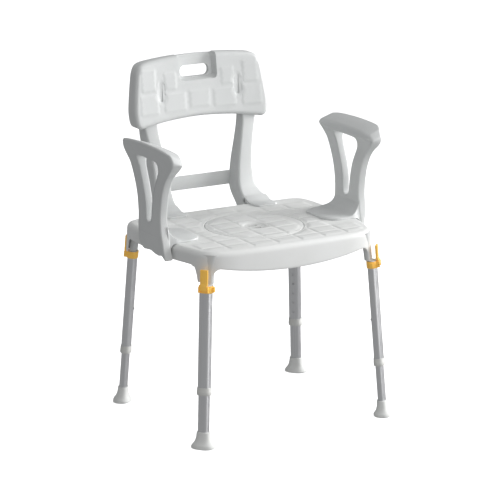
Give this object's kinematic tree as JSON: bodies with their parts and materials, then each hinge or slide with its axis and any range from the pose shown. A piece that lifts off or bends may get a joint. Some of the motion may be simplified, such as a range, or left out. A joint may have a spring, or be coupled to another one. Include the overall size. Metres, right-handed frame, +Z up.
{
  "type": "shower chair",
  "caption": "Height-adjustable shower chair: moulded seat with a round lift-out insert, curved backrest with a handle, clip-on armrests and splayed telescopic legs on rubber feet.",
  "frame": {"origin": "on the floor, below the middle of the chair's bounding box", "axes": "+Z up; -Y is the way the sitter faces; +X is to the right as seen from the front, and left and right in node names are as seen from the front"},
  "size_m": [0.594, 0.5312, 0.8385],
  "materials": {
    "white_plastic": "satin",
    "orange_plastic": "gloss",
    "collar_plastic": "satin",
    "foot_rubber": "matte",
    "anodised_aluminium": "satin anodised",
    "spring_steel": "satin"
  },
  "bodies": {
    "seat": {"seat_body": "white_plastic"},
    "insert": {"seat_insert": "white_plastic"},
    "back": {"back_panel": "white_plastic", "back_frame": "white_plastic"},
    "arm_left": {"armrest_left": "white_plastic"},
    "arm_right": {"armrest_right": "white_plastic"},
    "leg_front_left": {"outer_tube_front_left": "anodised_aluminium", "guide_collar_front_left": "collar_plastic", "latch_ring_front_left": "orange_plastic", "latch_pin_front_left": "spring_steel"},
    "lever_front_left": {"latch_lever_front_left": "orange_plastic"},
    "height_front_left": {"inner_tube_front_left": "anodised_aluminium", "foot_front_left": "foot_rubber"},
    "button_front_left": {"snap_button_front_left": "spring_steel", "button_spring_front_left": "spring_steel"},
    "leg_front_right": {"outer_tube_front_right": "anodised_aluminium", "guide_collar_front_right": "collar_plastic", "latch_ring_front_right": "orange_plastic", "latch_pin_front_right": "spring_steel"},
    "lever_front_right": {"latch_lever_front_right": "orange_plastic"},
    "height_front_right": {"inner_tube_front_right": "anodised_aluminium", "foot_front_right": "foot_rubber"},
    "button_front_right": {"snap_button_front_right": "spring_steel", "button_spring_front_right": "spring_steel"},
    "leg_rear_left": {"outer_tube_rear_left": "anodised_aluminium", "guide_collar_rear_left": "collar_plastic", "latch_ring_rear_left": "orange_plastic", "latch_pin_rear_left": "spring_steel"},
    "lever_rear_left": {"latch_lever_rear_left": "orange_plastic"},
    "height_rear_left": {"inner_tube_rear_left": "anodised_aluminium", "foot_rear_left": "foot_rubber"},
    "button_rear_left": {"snap_button_rear_left": "spring_steel", "button_spring_rear_left": "spring_steel"},
    "leg_rear_right": {"outer_tube_rear_right": "anodised_aluminium", "guide_collar_rear_right": "collar_plastic", "latch_ring_rear_right": "orange_plastic", "latch_pin_rear_right": "spring_steel"},
    "lever_rear_right": {"latch_lever_rear_right": "orange_plastic"},
    "height_rear_right": {"inner_tube_rear_right": "anodised_aluminium", "foot_rear_right": "foot_rubber"},
    "button_rear_right": {"snap_button_rear_right": "spring_steel", "button_spring_rear_right": "spring_steel"}
  },
  "joints": [
    {"name": "insert_lift", "type": "slide", "parent": "seat", "child": "insert", "axis": [0, 0, 1], "range_m": [0, 0.05]},
    {"name": "back_lift", "type": "slide", "parent": "seat", "child": "back", "axis": [0, 0, 1], "range_m": [0, 0.06]},
    {"name": "arm_left_lift", "type": "slide", "parent": "seat", "child": "arm_left", "axis": [0, 0, 1], "range_m": [0, 0.06]},
    {"name": "arm_right_lift", "type": "slide", "parent": "seat", "child": "arm_right", "axis": [0, 0, 1], "range_m": [0, 0.06]},
    {"name": "leg_front_left_pull", "type": "slide", "parent": "seat", "child": "leg_front_left", "axis": [-0.057, -0.0594, -0.9966], "range_m": [0, 0.06]},
    {"name": "lever_front_left_swing", "type": "hinge", "parent": "leg_front_left", "child": "lever_front_left", "pos_m": [-0.24166, -0.22611, 0.38011], "axis": [0.6298, -0.7767, 0.0103], "range_deg": [0, 40]},
    {"name": "height_front_left_slide", "type": "slide", "parent": "leg_front_left", "child": "height_front_left", "axis": [-0.057, -0.0594, -0.9966], "range_m": [-0.075, 0.075]},
    {"name": "button_front_left_press", "type": "slide", "parent": "height_front_left", "child": "button_front_left", "axis": [-0.7747, -0.627, 0.0817], "range_m": [0, 0.004], "stiffness_N_per_m": 800, "springref_m": -0.001},
    {"name": "leg_front_right_pull", "type": "slide", "parent": "seat", "child": "leg_front_right", "axis": [0.057, -0.0594, -0.9966], "range_m": [0, 0.06]},
    {"name": "lever_front_right_swing", "type": "hinge", "parent": "leg_front_right", "child": "lever_front_right", "pos_m": [0.24166, -0.22611, 0.38011], "axis": [0.6298, 0.7767, -0.0103], "range_deg": [0, 40]},
    {"name": "height_front_right_slide", "type": "slide", "parent": "leg_front_right", "child": "height_front_right", "axis": [0.057, -0.0594, -0.9966], "range_m": [-0.075, 0.075]},
    {"name": "button_front_right_press", "type": "slide", "parent": "height_front_right", "child": "button_front_right", "axis": [0.7747, -0.627, 0.0817], "range_m": [0, 0.004], "stiffness_N_per_m": 800, "springref_m": -0.001},
    {"name": "leg_rear_left_pull", "type": "slide", "parent": "seat", "child": "leg_rear_left", "axis": [-0.057, 0.0594, -0.9966], "range_m": [0, 0.06]},
    {"name": "lever_rear_left_swing", "type": "hinge", "parent": "leg_rear_left", "child": "lever_rear_left", "pos_m": [-0.24166, 0.16571, 0.38011], "axis": [-0.6298, -0.7767, -0.0103], "range_deg": [0, 40]},
    {"name": "height_rear_left_slide", "type": "slide", "parent": "leg_rear_left", "child": "height_rear_left", "axis": [-0.057, 0.0594, -0.9966], "range_m": [-0.075, 0.075]},
    {"name": "button_rear_left_press", "type": "slide", "parent": "height_rear_left", "child": "button_rear_left", "axis": [-0.7747, 0.627, 0.0817], "range_m": [0, 0.004], "stiffness_N_per_m": 800, "springref_m": -0.001},
    {"name": "leg_rear_right_pull", "type": "slide", "parent": "seat", "child": "leg_rear_right", "axis": [0.057, 0.0594, -0.9966], "range_m": [0, 0.06]},
    {"name": "lever_rear_right_swing", "type": "hinge", "parent": "leg_rear_right", "child": "lever_rear_right", "pos_m": [0.24166, 0.16571, 0.38011], "axis": [-0.6298, 0.7767, 0.0103], "range_deg": [0, 40]},
    {"name": "height_rear_right_slide", "type": "slide", "parent": "leg_rear_right", "child": "height_rear_right", "axis": [0.057, 0.0594, -0.9966], "range_m": [-0.075, 0.075]},
    {"name": "button_rear_right_press", "type": "slide", "parent": "height_rear_right", "child": "button_rear_right", "axis": [0.7747, 0.627, 0.0817], "range_m": [0, 0.004], "stiffness_N_per_m": 800, "springref_m": -0.001}
  ]
}
